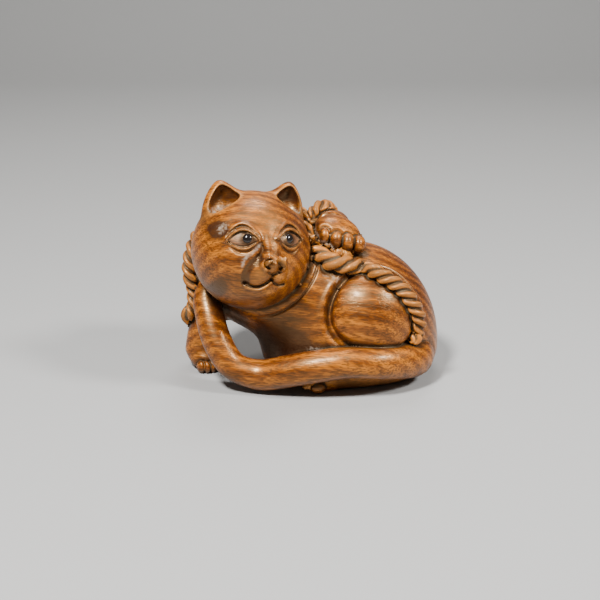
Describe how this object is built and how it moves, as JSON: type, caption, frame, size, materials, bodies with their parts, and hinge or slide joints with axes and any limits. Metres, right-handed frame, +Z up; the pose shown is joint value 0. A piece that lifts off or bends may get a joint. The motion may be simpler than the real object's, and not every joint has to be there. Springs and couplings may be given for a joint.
{
  "type": "netsuke",
  "caption": "Carved wooden netsuke of a resting cat with a twisted rope round its neck, a raised paw on the rope, and a long tail curled along its front to its cheek, with inlaid dark eyes.",
  "frame": {"origin": "On the surface that the netsuke rests on, below the middle of its outline.", "axes": "+X runs from the head towards the rump, the longest way. +Z is up. The front, which the face looks out of, is towards -Y."},
  "size_m": [0.044, 0.0307, 0.0349],
  "materials": {
    "stained_boxwood": "stained warm orange-brown boxwood, polished by handling, darker in the recesses",
    "black_horn": "polished black horn inlay"
  },
  "bodies": {
    "root": {"cat_with_rope": "stained_boxwood", "left_eye": "black_horn", "right_eye": "black_horn"}
  },
  "joints": []
}
